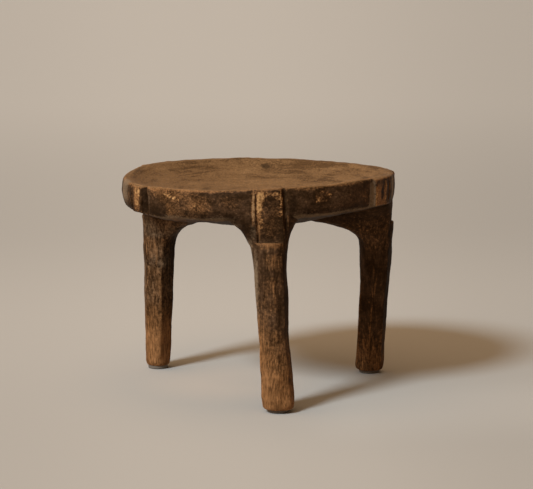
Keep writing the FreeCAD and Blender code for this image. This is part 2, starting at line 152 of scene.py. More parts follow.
# In the grooves this is dust; at the rim's left end and in the groove left of the right front
# panel the greyish film is also a painted highlight.
DUST_AND_SHEEN_MARKS = (
    ("left end of the rim", 280, 297, 20, 22, 0.80),
    ("ridge left of the front panel", 353.6, 290, 2.2, 26, 0.55),
    ("foot of that ridge", 353.6, 255, 5, 14, 0.42),
    ("front leg's left side", 351.5, 222, 6, 24, 0.72),
    ("front leg's left side, lower down", 353.8, 168, 6, 60, 0.72),
    ("left leg, top", 236, 220, 22, 16, 0.34),
    ("left leg, shin", 235.5, 150, 16, 54, 0.32),
    ("groove left of the right front panel", 50.5, 292, 6.5, 24, 1.15),
    ("edge of the groove beside it", 305.2, 292, 1.6, 22, 0.35),
    ("right end of the rim", 73, 298, 8, 20, 0.95),
)
# Darkened places: painted shade in the grooves and notches beside the panels and on the left leg's
# inner side, and grime on the panels.
GRIME_AND_SHADE_MARKS = (
    ("groove right of the left front panel", 301, 291, 5.2, 26, 0.62),
    ("left edge of the left front panel", 289.2, 291, 1.8, 20, 0.8),
    ("front panel, middle", 0.4, 292, 6.5, 13, 0.30),
    ("right of the front panel", 9.6, 285, 6, 24, 0.60),
    ("right front panel, middle", 58.6, 297, 4.8, 11, 1),
    ("right of the right front panel", 64.4, 296, 2.6, 18, 0.80),
    ("left leg, inner side", 227, 130, 8, 70, 0.45),
)
# The rim's top edge, which hands polish and which carries a painted highlight, and its rolled
# lower edge,
# which carries a painted sheen: azimuth of the middle, how far it reaches round, in degrees, and
# how strongly it shows.
CREST_WEAR_AND_HIGHLIGHT_MARKS = (
    ("left of the front", 320, 30, 0.92),
    ("left end", 283, 14, 0.66),
    ("right of the front", 26, 24, 0.60),
    ("beside the right front panel", 60, 14, 0.60),
    ("back", 180, 100, 0.35),
)
LIP_SHEEN_MARKS = (
    ("left of the front", 325, 26, 0.86),
    ("right of the front", 20, 18, 0.86),
    ("beside the right leg", 42, 14, 0.70),
    ("left end", 298, 12, 0.35),
    ("back", 180, 40, 0.40),
    ("back left", 255, 14, 0.35),
    ("back right", 130, 16, 0.35),
)
# Darker and paler patches of the dish: place across and back of the seat's axis, how far the
# patch reaches each way, in millimetres, and how dark it is, or how pale below zero.
DISH_MARKS = (
    ("far half", 0, 130, 190, 60, 0.10),
    ("far right", 110, 110, 60, 50, 0.22),
    ("dark back on the left", -88, 152, 34, 24, 0.30),
    ("dark back right of the knot", 72, 160, 42, 16, 0.45),
    ("dark streak on the back", 96, 140, 30, 10, 0.30),
    ("dark streak below the knot", 8, 118, 34, 8, 0.22),
    ("left end", -176, 30, 16, 40, 0.25),
    ("pale lens on the left", -138, 106, 18, 12, -0.60),
    ("pale middle", 30, 96, 46, 22, -0.25),
    ("right", 104, 78, 40, 22, 0.14),
    ("right end", 172, 0, 22, 60, 0.30),
    ("pale beside the dark back", -20, 150, 26, 16, -0.30),
    ("front half", 0, -60, 150, 90, -0.25),
    # A painted highlight along the dish's near edge on the right.
    ("near edge on the right", 80, -152, 56, 34, -0.60),
)
KNOT = (0.0235, 0.1674)
# Where the carver's hand left the outline off the plan: azimuth and height of the middle, how far
# the pull reaches, and the pull outwards and upwards, all in millimetres but the azimuth.
PULLS = (
    ("belly beside the left leg", 308, 262, 30, 0, -1.6),
    ("right end of the rim", 84, 300, 34, -2.2, 0),
    ("right end of the rim, lower edge", 86, 281, 15, -3, 0),
)
# Each leg at its step: its azimuth and the middle's distance from the seat's axis.
LEG_TOPS = {"front": (0.4, 0.1802), "right": (98.7, 0.1828), "left": (232.0, 0.1810)}
# The long planes that each leg is dressed to: which way each one faces, and how far it lies from
# the leg's middle as a share of the leg's radius.
LEG_PLANES = {
    "front": ((345, 22, 62, 105, 180, 253, 306), (0.965, 0.965, 0.97, 0.97, 0.97, 0.97, 0.98)),
    "right": ((15, 65, 110, 158, 205, 262, 318), (0.96, 0.98, 0.97, 0.97, 0.97, 0.93, 0.91)),
    "left": ((322, 42, 92, 140, 188, 236, 280), (0.945, 0.945, 0.97, 0.97, 0.97, 0.97, 0.98)),
}
# Noises of the wood: scale, detail, roughness, and how far each axis is drawn out.
FIBRES_ROUND = (400.0, 5.0, 0.6, (1.0, 1.0, 1.7))
FIBRES_UP = (520.0, 5.0, 0.6, (1.0, 1.0, 0.13))
STREAKS_ROUND = (90.0, 4.0, 0.6, (1.0, 1.0, 2.2))
STREAKS_UP = (170.0, 4.0, 0.6, (1.0, 1.0, 0.22))
MOTTLING = (250.0, 5.0, 0.66)
BLOTCHES = (34.0, 4.0, 0.6)
# How much darker or paler than its own colour each kind of wood gets, channel by channel.
DISH_DARK, DISH_PALE, KNOT_DARK = (0.52, 0.49, 0.46), (1.28, 1.32, 1.36), 0.3
RUBBED_DARK = (0.52, 0.49, 0.44)
GRIME_AND_SHADE_DARK, GROOVE_DARK = 0.6, 0.45
# The floor's warm patch: its middle, where the wood throws light back, and its tint.
WARM_MIDDLE, WARM_TINT = (-0.030, 0.012), (1.23, 1.14, 1.07)


def setting(name, description, default, least=0.0, most=10.0, **kind):
    """A number that a step reads."""
    words = {"name": name, "description": description}
    return FloatProperty(**words, default=default, min=least, max=most, **kind)


def share_setting(name, description, default, most=1.0):
    """A setting from nothing up to a share of the whole."""
    return setting(name, description, default, most=most, subtype="FACTOR")


def length_setting(name, description, default, least=0.0, most=10.0):
    """A setting in metres."""
    kind = {"precision": 5, "subtype": "DISTANCE", "unit": "LENGTH"}
    return setting(name, description, default, least, most, **kind)


def angle_setting(name, description, degrees):
    """A setting that is given in degrees and kept in radians, up to a full turn either way."""
    kind = {"subtype": "ANGLE", "unit": "ROTATION"}
    return setting(name, description, math.radians(degrees), -math.tau, math.tau, **kind)


def colour_setting(name, description, default):
    """A setting for a colour, in linear shares."""
    kind = {"min": 0.0, "max": 1.0, "size": 3, "subtype": "COLOR"}
    return FloatVectorProperty(name=name, description=description, default=default, **kind)


class CarvingSettings(PropertyGroup):
    """How the body is carved."""

    mesh_grain: length_setting(
        "Mesh Grain", "Edge length of the mesh that the facets are cut into", 0.00125, 0.001, 0.004
    )
    facet_depth: length_setting(
        "Facet Depth", "Most that a knife's facet moves the surface", 0.0008, most=0.003
    )
    leg_flatness: share_setting("Leg Flatness", "How flat the legs' planes are dressed", 0.85)
    rim_flatness: share_setting(
        "Rim Flatness", "How flat the rim's and the belly's facets are cut", 0.45
    )
    waver: length_setting("Waver", "How far the surface wanders from its plan", 0.0006, most=0.002)
    edge_wear: share_setting("Edge Wear", "How much the edges are rubbed down", 0.35)
    fine_share: share_setting(
        "Fine Share", "How much of the mesh the thinning leaves as fine as it was", 0.10, 0.2
    )
    most_triangles: IntProperty(
        name="Most Triangles",
        description="The finished mesh is thinned to this many triangles",
        default=186000,
        min=20000,
        max=199000,
    )


class WoodSettings(PropertyGroup):
    """The wood's colours."""

    patina: colour_setting(
        "Patina", "The dark skin that handling and smoke have left", tone(50, 31, 14)
    )
    brown: colour_setting("Brown", "Wood whose patina is thin", tone(88, 61, 40))
    dish: colour_setting("Dish", "The seat's polished hollow", tone(121, 86, 53))
    rubbed: colour_setting("Rubbed", "Wood that hands and floors have rubbed", tone(147, 99, 59))
    bare: colour_setting("Bare", "Chips and edges worn down to bare wood", tone(188, 138, 86))
    # This colour is also a painted sheen on the rim's rolled lower edge and a painted highlight at
    # some dust marks.
    dust: colour_setting("Dust", "The greyish film in the grooves", tone(130, 104, 78))


class GlideSettings(PropertyGroup):
    """The glides' colour."""

    rubber: colour_setting("Rubber", "The glides' pale greyish rubber", tone(112, 96, 80))


class NailSettings(PropertyGroup):
    """The nails' colour."""

    steel: colour_setting("Steel", "The nails' dull steel", tone(150, 146, 140))


class StudioSettings(PropertyGroup):
    """The floor, the lights and the camera."""

    floor: colour_setting("Floor", "The pale floor and backdrop", tone(188, 176, 162))
    key: colour_setting(
        "Key Colour", "The main light, whose colour makes up for the warm fill", (0.643, 0.82, 1.0)
    )
    key_strength: setting("Key Strength", "The main light's strength", 3.5)
    key_azimuth: angle_setting(
        "Key Azimuth", "Where the main light stands, from the front towards the right", -46.0
    )
    key_height: angle_setting("Key Height", "How high the main light stands", 41.0)
    key_softness: angle_setting(
        "Key Softness", "How wide the main light looks from the stool", 13.0
    )
    fill: colour_setting(
        "Fill Colour", "The warm light from all round and from the left", (1.0, 0.755, 0.51)
    )
    fill_strength: setting("Fill Strength", "The light from all round", 0.19)
    side_strength: setting("Side Strength", "The broad warm light from the left", 1.4)
    side_azimuth: angle_setting(
        "Side Azimuth", "Where the broad light stands, from the front towards the right", -88.0
    )
    side_height: angle_setting("Side Height", "How high the broad light stands", 62.0)
    side_softness: angle_setting(
        "Side Softness", "How wide the broad light looks from the stool", 100.0
    )
    camera_azimuth: angle_setting(
        "Camera Azimuth", "Where the camera stands, from the front towards the right", -4.3
    )
    camera_distance: length_setting(
        "Camera Distance", "From the seat's axis to the camera, along the floor", 3.1161, 0.5
    )
    camera_height: length_setting("Camera Height", "From the floor to the camera", 0.6886)
    camera_pitch: angle_setting("Camera Pitch", "How far down the camera looks", 8.774)
    camera_turn: angle_setting(
        "Camera Turn", "How far to the right of the seat's axis the camera looks", 0.2166
    )
    focal_pixels: setting(
        "Focal Pixels", "The lens, as a distance in the photograph's pixels", 2127.6, 100.0, 9999.0
    )


def eased(value, low, high):
    """From 0 at low to 1 at high, easing in and out."""
    part = np.clip((value - low) / (high - low), 0.0, 1.0)
    return part * part * (3.0 - 2.0 * part)


def hump(value, middle, reach, power=2):
    """1 at a middle and about a third at its reach, flatter on top for a higher power."""
    return np.exp(-(((value - middle) / reach) ** power))


def spot(across, up, power=2):
    """A hump in two directions, with each distance counted in its own reach."""
    return np.exp(-(across**power) - up**power)


def read_rows(items, name, width, kind=float):
    """A row of numbers for each of a mesh's points or edges."""
    flat = np.empty(len(items) * width, kind)
    items.foreach_get(name, flat)
    return flat.reshape(-1, width)


def points_of(mesh):
    """The places of a mesh's points, and which way they face."""
    return read_rows(mesh.vertices, "co", 3), read_rows(mesh.vertex_normals, "vector", 3)


def write_points(mesh, points):
    """Gives a mesh's points new places."""
    mesh.vertices.foreach_set("co", points.ravel())
    mesh.update()


def write_attribute(mesh, name, values):
    """Keeps a number for each point, which a material reads by name."""
    attribute = mesh.attributes.new(name, "FLOAT", "POINT")
    attribute.data.foreach_set("value", values.astype(np.float32))


def neighbour_mean(values, edges):
    """The mean of each point's neighbours."""
    count = len(values)
    first, second = edges[:, 0], edges[:, 1]
    share = np.bincount(edges.ravel(), minlength=count).clip(1)
    columns = []
    for column in values.reshape(count, -1).T:
        total = np.bincount(first, column[second], count)
        total += np.bincount(second, column[first], count)
        columns.append(total / share)
    return np.stack(columns, 1).reshape(values.shape)


def rubbed_down(values, edges, times, amount=0.5):
    """Values eased towards their neighbours' mean, some times over."""
    for _ in range(times):
        values = values + amount * (neighbour_mean(values, edges) - values)
    return values


def dot_rows(first, second):
    """The dot product of each pair of rows."""
    return np.einsum("ij,ij->i", first, second)


def waves(points, length, rng, count=28):
    """A smooth random field from about -1 to 1, with waves of about that length."""
    field = np.zeros(len(points))
    for _ in range(count):
        way = rng.normal(size=3)
        way *= rng.uniform(0.6, 1.5) / np.linalg.norm(way)
        field += np.sin(points @ way * math.tau / length + rng.uniform(0.0, math.tau))
    return field / math.sqrt(count)


def round_the_axis(points):
    """Azimuth in degrees, distance from the seat's axis and height of each point."""
    right, back = points[:, 0] - AXIS_RIGHT, points[:, 1] - AXIS_BACK
    return np.degrees(np.arctan2(right, -back)) % 360.0, np.hypot(right, back), points[:, 2]


def turned_from(azimuths, azimuth):
    """How many degrees round each point lies from an azimuth, either way."""
    return (azimuths - azimuth + 180.0) % 360.0 - 180.0


def beside(azimuths, azimuth, radii):
    """How far round each point lies from an azimuth, in metres."""
    return np.radians(turned_from(azimuths, azimuth)) * radii


def by_leg(azimuths, front, right, left):
    """Each point's value, chosen by the leg that stands on its side."""
    others = np.where(azimuths > 180.0, left, right)
    return np.where((azimuths > 315.0) | (azimuths < 45.0), front, others)


def marked(points, marks):
    """How strongly each point is marked by any of some marks, from 0 to 1."""
    azimuths, radii, heights = round_the_axis(points)
    # Up at the rim only its outer side takes marks, so that none spills into the dish.
    inner = MARKS_FROM + RIM_FARTHER * eased(heights, *RIM_HEIGHTS)
    outer = eased(radii, inner, inner + MARKS_EASE)
    strongest = np.zeros(len(points))
    for _, azimuth, height, across, up, strength in marks:
        side = beside(azimuths, azimuth, radii) / (across * MM)
        rise = (heights - height * MM) / (up * MM)
        strongest = np.maximum(strongest, strength * outer * spot(side, rise, 4))
    return strongest


def dish_patches(points):
    """How dark the dish's patches make each point, or how pale below zero."""
    total = np.zeros(len(points))
    for _, across, back, reach_across, reach_back, strength in DISH_MARKS:
        side = (points[:, 0] - AXIS_RIGHT - across * MM) / (reach_across * MM)
        rise = (points[:, 1] - AXIS_BACK - back * MM) / (reach_back * MM)
        total += strength * spot(side, rise)
    return total.clip(-1.0, 1.0)


def round_shares(azimuths, marks):
    """How strongly any of some marks that run round the rim shows at each azimuth."""
    strongest = np.zeros(len(azimuths))
    for _, azimuth, reach, strength in marks:
        mark = strength * hump(turned_from(azimuths, azimuth), 0.0, reach, 4)
        strongest = np.maximum(strongest, mark)
    return strongest


def lip_sheen_shares(points, normals):
    """How strongly the painted sheen on the rim's rolled lower edge shows at each point."""
    azimuths, radii, heights = round_the_axis(points)
    rolled = hump(normals[:, 2], *LIP_FACES)
    rolled *= eased(heights, *LIP_STARTS) * (1.0 - eased(heights, *LIP_ENDS))
    rolled *= eased(radii, *LIP_RADII)
    return rolled * round_shares(azimuths, LIP_SHEEN_MARKS)


def crest_wear_and_highlight(points, normals):
    """How strongly the rim's top edge is rubbed, and lightened by a painted highlight, at each
    point.
    """
    azimuths, radii, heights = round_the_axis(points)
    turned = hump(normals[:, 2], *CREST_FACES)
    turned *= eased(heights, *CREST_HEIGHTS) * eased(radii, *CREST_RADII)
    return turned * round_shares(azimuths, CREST_WEAR_AND_HIGHLIGHT_MARKS)


def foot_wear(points):
    """How much of its patina each leg has lost towards its foot."""
    azimuths, _, heights = round_the_axis(points)
    # The front leg keeps its patina lower down on the right.
    leaning = heights + 1.3 * (points[:, 0] - 0.010)
    worn = []
    for leg in LEGS:
        share, top = FOOT_WEAR[leg]
        level = leaning if leg == "front" else heights
        worn.append(share * (1.0 - eased(level, 0.010, top)))
    return by_leg(azimuths, *worn)


def leg_middles(leg, heights):
    """The leg's middle at each height, from its foot to its step, and which way it stands."""
    low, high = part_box("foot_glide_" + leg)
    foot = np.array(((low + high) / 2.0)[:2])
    azimuth, radius = LEG_TOPS[leg]
    turn = math.radians(azimuth)
    top = (AXIS_RIGHT + radius * math.sin(turn), AXIS_BACK - radius * math.cos(turn))
    part = ((heights - GLIDE_TOP) / (STEP_LEVEL - GLIDE_TOP)).clip(0.0, 1.0)
    return foot + (np.array(top) - foot) * part[:, None], turn


def mean_reach(heights, reach, chosen):
    """How far out the chosen points lie on average, at each point's height."""
    levels = np.linspace(GLIDE_TOP, 0.215, 22)
    slot = np.digitize(heights, levels)
    means = [reach[chosen & (slot == i)].mean() for i in range(1, len(levels))]
    return np.interp(heights, (levels[:-1] + levels[1:]) / 2.0, means)


def plane_moves(points, leg):
    """Moves of a leg's points towards its long planes, as an adze leaves them."""
    heights = points[:, 2]
    middles, turn = leg_middles(leg, heights)
    offset = points[:, :2] - middles
    reach = np.hypot(offset[:, 0], offset[:, 1])
    way = np.arctan2(offset[:, 0], -offset[:, 1])
    outward = np.cos(way - turn)
    mine = (reach < LEG_REACH) & (heights < LEG_END)
    half = mean_reach(heights, reach, mine & (outward > -0.2))
    # The planes bend and lean a little on their way up.
    nearest = np.full(len(points), 1.0)
    for i, (faces, share) in enumerate(zip(*LEG_PLANES[leg])):
        bend = 0.03 * np.sin(heights * 38.0 + 2.1 * i)
        facing = np.cos(way - math.radians(faces) + bend)
        far = half * (share + 0.006 * np.sin(heights * 52.0 + 1.7 * i))
        nearest = np.minimum(nearest, np.where(facing > 0.3, far / facing.clip(0.3), 1.0))
    weight = eased(heights, *PLANES_BEGIN)
    weight *= 1.0 - eased(heights, *PLANES_END)
    gain = np.where(mine, weight * (nearest / reach.clip(1e-6) - 1.0), 0.0)
    # The web behind the leg is left as it is.
    gain *= np.where(outward > -0.5, 1.0, 1.0 - eased(heights, *WEB_BEGINS))
    moves = np.zeros_like(points)
    moves[:, :2] = offset * gain.clip(-0.15, 0.12)[:, None]
    return moves


def facet_moves(points, normals, chosen, cell, count, flatness, depth, rng):
    """Moves of the chosen points towards flat facets about a cell in size, as a knife leaves."""
    turn_weight, seam_sharpness, batch = 1.3, 7.0, 8000
    where = np.flatnonzero(chosen)
    seeds = rng.choice(where, count, replace=False)
    features = np.hstack([points / np.array(cell), normals * turn_weight])
    seed_features, seed_normals = features[seeds], normals[seeds]
    levels = dot_rows(points[seeds], seed_normals)
    moves = np.zeros_like(points)
    for part in np.array_split(where, max(1, len(where) // batch)):
        near = (
            (features[part] ** 2).sum(1)[:, None]
            + (seed_features**2).sum(1)
            - 2.0 * features[part] @ seed_features.T
        )
        weight = np.exp(-seam_sharpness * (near - near.min(1, keepdims=True)))
        weight /= weight.sum(1, keepdims=True)
        gap = np.clip((levels - points[part] @ seed_normals.T) * flatness, -depth, depth)
        moves[part] = (weight * gap) @ seed_normals
    return moves


def merged_copy(node):
    """A copy of a CAD node's mesh with its doubles merged and its nails' holes closed."""
    work = bmesh.new()
    work.from_mesh(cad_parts[node].data)
    bmesh.ops.remove_doubles(work, verts=work.verts, dist=1e-6)
    for leg in LEGS:
        low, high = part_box("glide_nail_" + leg)
        middle = (low + high) / 2.0
        inside = [
            v
            for v in work.verts
            if v.co.z < high.z + MM
            and math.hypot(v.co.x - middle.x, v.co.y - middle.y) < NAIL_HOLE
        ]
        bmesh.ops.delete(work, geom=inside, context="VERTS")
    bmesh.ops.holes_fill(work, edges=[e for e in work.edges if e.is_boundary])
    bmesh.ops.triangulate(work, faces=[f for f in work.faces if len(f.verts) > 3])
    mesh = bpy.data.meshes.new(node + "_carved")
    work.to_mesh(mesh)
    work.free()
    return mesh


def after_modifiers(piece):
    """A piece's mesh with its modifiers done, and the modifiers removed."""
    bpy.context.view_layer.update()
    seen = piece.evaluated_get(bpy.context.evaluated_depsgraph_get())
    mesh = bpy.data.meshes.new_from_object(seen)
    piece.modifiers.clear()
    old, piece.data = piece.data, mesh
    bpy.data.meshes.remove(old)
    return mesh


def pulled(points):
    """The points after the carver's pulls."""
    azimuths, radii, heights = round_the_axis(points)
    moved = points.copy()
    out = np.stack([points[:, 0] - AXIS_RIGHT, points[:, 1] - AXIS_BACK], 1) / radii[:, None]
    for _, azimuth, height, reach, outward, upward in PULLS:
        side = beside(azimuths, azimuth, radii) / (reach * MM)
        rise = (heights - height * MM) / (reach * 0.6 * MM)
        weight = spot(side, rise) * eased(radii, 0.12, 0.17)
        moved[:, :2] += out * (weight * outward * MM)[:, None]
        moved[:, 2] += weight * upward * MM
    return moved


def body_parts(up, heights):
    """How far each point belongs to the legs, to the dish and to the belly."""
    leg = 1.0 - eased(heights, STEP_LEVEL - 0.012, STEP_LEVEL + 0.008)
    dish = eased(up, 0.50, 0.80) * eased(heights, 0.268, 0.278)
    return leg, dish, (1.0 - leg) * eased(-up, 0.30, 0.65)


def cut_facets(points, normals, parts, settings, rng):
    """The points after the tools have left their facets, with a slow waver over all of them."""
    _, radii, heights = round_the_axis(points)
    leg, dish, belly = parts
    side = (1.0 - leg) * (1.0 - dish) * (1.0 - belly)
    # The rim's two edges keep their line.
    up = normals[:, 2]
    calm = 1.0 - hump(up, 0.50, 0.42, 4) * eased(heights, 0.288, 0.298)
    calm *= 1.0 - 0.8 * hump(up, -0.55, 0.30) * eased(radii, 0.18, 0.19)
    # Where each kind of facet is cut, its cell, how many there are and how flat they are.
    cuts = (
        (leg, (0.012, 0.012, 0.050), 190, 0.30),
        (side * calm, (0.030, 0.030, 0.017), 150, settings.rim_flatness),
        (belly, (0.030, 0.030, 0.030), 150, settings.rim_flatness),
        (dish * calm, (0.055, 0.055, 0.055), 60, 0.35 * settings.rim_flatness),
    )
    moves = np.zeros_like(points)
    for share, cell, count, flatness in cuts:
        cut = facet_moves(
            points, normals, share > 0.01, cell, count, flatness, settings.facet_depth, rng
        )
        moves += cut * share[:, None]
    long_waves, short_waves = 0.055, 0.016
    waver = waves(points, long_waves, rng) + 0.35 * waves(points, short_waves, rng)
    moves += normals * (settings.waver * calm * waver)[:, None]
    # The feet stay flat on their glides.
    return points + moves * eased(heights, GLIDE_TOP, GLIDE_TOP + 0.008)[:, None]


def wear_edges(points, normals, edges, heights, settings, rng):
    """The points after hands and floors have rubbed the edges down and nicked them."""
    patch_length, nick_length, nick_depth = 0.020, 0.009, 0.0006
    mean = neighbour_mean(points, edges)
    sharp = dot_rows(points - mean, normals) / settings.mesh_grain
    worn = eased(rubbed_down(sharp, edges, 2), 0.03, 0.16)
    worn *= eased(heights, GLIDE_TOP, GLIDE_TOP + 0.004)
    patchy = 0.6 + 0.5 * waves(points, patch_length, rng)
    for _ in range(4):
        pull = neighbour_mean(points, edges) - points
        points = points + pull * (settings.edge_wear * worn * patchy.clip(0.1, 1.2))[:, None]
    nick = eased(waves(points, nick_length, rng), 1.15, 2.2)
    return points - normals * (nick_depth * nick * worn)[:, None]


def grime_and_shade_on(points, facing, place, parts):
    """How dark each point is, from grime and from painted shade."""
    azimuths, radii, heights = place
    leg, dish, _ = parts
    # Under the rim's bulge, where the surface faces down, painted shade darkens the skin.
    under = eased(-facing[:, 2], 0.0, 0.35)
    under += 0.6 * eased(-heights, -0.290, -0.272)
    under = 0.5 * under.clip(0.0, 1.0) * (1.0 - leg) * (1.0 - dish)
    # Painted shade also darkens the legs' sides that face right, away from the key light, up to
    # the belly.
    inner = (1.0 - eased(radii, 0.178, 0.190)) * (1.0 - dish)
    steep = eased(facing[:, 0], 0.35, 0.80)
    turned = by_leg(azimuths, 0.55 * steep, steep, eased(facing[:, 0], 0.02, 0.42))
    turned *= (1.0 - 0.6 * foot_wear(points)) * np.maximum(leg, inner)
    return np.maximum(np.maximum(under, turned), marked(points, GRIME_AND_SHADE_MARKS))


def keep_finish(mesh, edges, place, parts):
    """Keeps what the finish needs to know of each point, and says where it is finest."""
    points, normals = points_of(mesh)
    few, many = 3, 16
    even = rubbed_down(normals, edges, few)
    broad = rubbed_down(points, edges, many)
    ridge = dot_rows(points - broad, normals) / MM
    dish = parts[1]
    rubbed = np.maximum(marked(points, RUBBED_MARKS), foot_wear(points))
    # The rim's top edge adds its wear and its painted highlight.
    rubbed = np.maximum(rubbed, crest_wear_and_highlight(points, even))
    rubbed *= 1.0 - 0.8 * marked(points, GRIME_AND_SHADE_MARKS)
    bare, dust = marked(points, BARE_MARKS), marked(points, DUST_AND_SHEEN_MARKS)
    finish = {
        "ridge": ridge,
        "dish": dish,
        "patch": dish_patches(points) * dish,
        "bare": bare,
        "rubbed": rubbed,
        "dust": dust,
        "lip": lip_sheen_shares(points, even),
        "grime": grime_and_shade_on(points, even, place, parts),
    }
    for name, values in finish.items():
        write_attribute(mesh, name, values)
    return np.maximum(bare, 0.8 * dust) + 0.3 * eased(np.abs(ridge), 0.10, 0.40)


def carve(mesh, settings):
    """Carves and wears the even mesh, and chooses the points that carry the finest marks."""
    rng = np.random.default_rng(SEED)
    edges = read_rows(mesh.edges, "vertices", 2, np.int32)
    # The even mesh's small steps are rubbed out first.
    points = pulled(rubbed_down(points_of(mesh)[0], edges, 3))
    for leg in LEGS:
        points = points + settings.leg_flatness * plane_moves(points, leg)
    write_points(mesh, points)
    normals, place = points_of(mesh)[1], round_the_axis(points)
    parts = body_parts(normals[:, 2], points[:, 2])
    points = cut_facets(points, normals, parts, settings, rng)
    points = wear_edges(points, normals, edges, place[2], settings, rng)
    write_points(mesh, points)
    fine = keep_finish(mesh, edges, place, parts)
    return fine > np.quantile(fine, 1.0 - settings.fine_share)


def add_node(tree, kind, inputs=(), **settings):
    """A node with its settings and its inputs, each a value or another node's socket."""
    node = tree.nodes.new("ShaderNode" + kind)
    for name, value in settings.items():
        setattr(node, name, value)
    for key, value in dict(inputs).items():
        if isinstance(value, NodeSocket):
            tree.links.new(value, node.inputs[key])
        else:
            node.inputs[key].default_value = value
    return node


def sum_of(tree, operation, first, second=0.0):
    """The result of a sum of two numbers."""
    return add_node(tree, "Math", {0: first, 1: second}, operation=operation).outputs[0]


def product_of(tree, first, *others):
    """Some numbers multiplied."""
    for other in others:
        first = sum_of(tree, "MULTIPLY", first, other)
    return first


def vector_sum(tree, operation, first, second=(0.0, 0.0, 0.0)):
    """The result of a sum of two vectors."""
    return add_node(tree, "VectorMath", {0: first, 1: second}, operation=operation).outputs[0]


def rise_of(tree, value, low, high, start=0.0, end=1.0):
    """A number that eases from start to end as a value goes from low to high."""
    sockets = {"Value": value, "From Min": low, "From Max": high, "To Min": start, "To Max": end}
    return add_node(tree, "MapRange", sockets, interpolation_type="SMOOTHSTEP").outputs["Result"]


def between(tree, share, first, second):
    """A number that goes from one to another by a share."""
    return add_node(tree, "Mix", {0: share, 2: first, 3: second}, data_type="FLOAT").outputs[0]


def coated(tree, share, under, over, blend="MIX"):
    """One colour laid over another, by a share."""
    under = under if isinstance(under, NodeSocket) else (*under, 1.0)
    over = over if isinstance(over, NodeSocket) else (*over, 1.0)
    sockets = {0: share, 6: under, 7: over}
    return add_node(tree, "Mix", sockets, data_type="RGBA", blend_type=blend).outputs[2]


def noise_on(tree, place, scale, detail, roughness, stretch=(1.0, 1.0, 1.0), distortion=0.0):
    """Noise on a place, drawn out along an axis where its stretch is small."""
    sockets = {
        "Vector": add_node(tree, "Mapping", {"Vector": place, "Scale": stretch}).outputs[0],
        "Scale": scale,
        "Detail": detail,
        "Roughness": roughness,
        "Distortion": distortion,
    }
    return add_node(tree, "TexNoise", sockets).outputs["Fac"]


def swayed(tree, base, *terms):
    """A number that some noises sway about itself, each by its amount."""
    total = sum_of(tree, "SUBTRACT", base, sum(amount for _, amount in terms) / 2.0)
    for noise, amount in terms:
        sockets = {0: noise, 1: amount, 2: total}
        total = add_node(tree, "Math", sockets, operation="MULTIPLY_ADD").outputs[0]
    return total


def shaded(tree, colour, share):
    """A colour made darker or paler by a number."""
    grey = add_node(tree, "CombineColor", {0: share, 1: share, 2: share}).outputs[0]
    return coated(tree, 1.0, colour, grey, "MULTIPLY")


def object_place(tree):
    """Where a point lies on its object."""
    return add_node(tree, "TexCoord").outputs["Object"]


def apart_of(tree, place):
    """A place's three numbers, by name."""
    return add_node(tree, "SeparateXYZ", {0: place}).outputs


def distance_from(tree, place, middle):
    """A place seen from an upright line, level with it, and how far from the line it lies."""
    sockets = {"Vector": place, "Location": (-middle[0], -middle[1], 0.0)}
    moved = add_node(tree, "Mapping", sockets).outputs[0]
    flat = vector_sum(tree, "MULTIPLY", moved, (1.0, 1.0, 0.0))
    return flat, add_node(tree, "VectorMath", {0: flat}, operation="LENGTH").outputs["Value"]


def arcs_round(tree, place, middle, fineness, turns):
    """Noise drawn out into arcs round an upright line, as growth rings run."""
    flat, length = distance_from(tree, place, middle)
    way = vector_sum(tree, "NORMALIZE", flat)
    scaled = vector_sum(tree, "MULTIPLY", way, (turns, turns, 0.0))
    out = add_node(tree, "CombineXYZ", {2: product_of(tree, length, fineness)}).outputs[0]
    return noise_on(tree, vector_sum(tree, "ADD", scaled, out), 1.0, 4.0, 0.6, distortion=0.6)


def kept(tree, name):
    """What was kept of each point under a name."""
    return add_node(tree, "Attribute", attribute_name=name).outputs["Fac"]


def bump_of(tree, height, strength, distance):
    """Normals tilted by a height."""
    sockets = {"Strength": strength, "Distance": distance, "Height": height}
    return add_node(tree, "Bump", sockets).outputs[0]


def new_material(name):
    """A material without nodes yet, and its node tree."""
    material = bpy.data.materials.new(name)
    material.use_nodes = True
    material.node_tree.nodes.clear()
    return material, material.node_tree


def surfaced(material, inputs):
    """A material, ended with its shader and its output."""
    shader = add_node(material.node_tree, "BsdfPrincipled", inputs)
    add_node(material.node_tree, "OutputMaterial", {"Surface": shader.outputs[0]})
    return material


def dish_colour(tree, place, wood, blotches, fibres, mottling):
    """The polished hollow: end grain with arcs of growth, patches and a knot."""
    axis = (AXIS_RIGHT, AXIS_BACK)
    knot = (AXIS_RIGHT + KNOT[0], AXIS_BACK + KNOT[1])
    arcs = arcs_round(tree, place, axis, 150.0, 2.6)
    wide_arcs = arcs_round(tree, place, axis, 46.0, 1.6)
    knot_arcs = arcs_round(tree, place, knot, 330.0, 1.5)
    _, from_knot = distance_from(tree, place, knot)
    # Round the knot the arcs bend about it.
    near_knot = rise_of(tree, from_knot, 0.016, 0.040, 1.0, 0.0)
    lines = between(tree, near_knot, arcs, knot_arcs)
    pallor = swayed(tree, 0.5, (lines, 1.5), (wide_arcs, 1.1), (blotches, 1.0))
    pallor = swayed(tree, pallor, (fibres, 0.8), (mottling, 0.4))
    pallor = sum_of(tree, "SUBTRACT", pallor, product_of(tree, kept(tree, "patch"), 0.85))
    own = np.array(wood.dish)
    colour = coated(tree, rise_of(tree, pallor, 0.0, 0.5), own * DISH_DARK, own)
    colour = coated(tree, rise_of(tree, pallor, 0.5, 1.1), colour, own * DISH_PALE)
    heart = swayed(tree, from_knot, (lines, 0.008), (blotches, 0.006))
    heart = rise_of(tree, heart, 0.0040, 0.0115, 0.95, 0.0)
    return coated(tree, heart, colour, own * KNOT_DARK)


